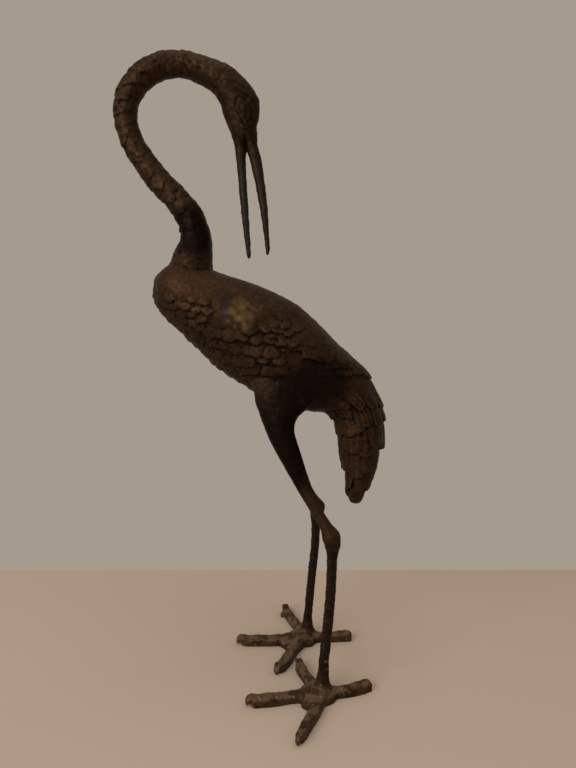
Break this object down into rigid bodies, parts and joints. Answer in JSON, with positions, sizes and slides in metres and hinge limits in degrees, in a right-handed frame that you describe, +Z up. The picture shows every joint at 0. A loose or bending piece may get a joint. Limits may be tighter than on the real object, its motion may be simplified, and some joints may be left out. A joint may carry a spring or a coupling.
{
  "type": "cast heron sculpture",
  "caption": "Standing wading bird cast in one piece, with a looped neck, open bill bent to its back, feathered breast and tail, and flat-soled feet.",
  "frame": {"origin": "middle of the whole bird's box, on the ground under its soles", "axes": "+Z up; the bird faces -X, its left side is towards -Y"},
  "size_m": [0.3296, 0.309, 0.7579],
  "materials": {
    "bronze": "dark brown patinated bronze, worn and limed at the feet"
  },
  "bodies": {
    "root": {"heron": "bronze"}
  },
  "joints": []
}
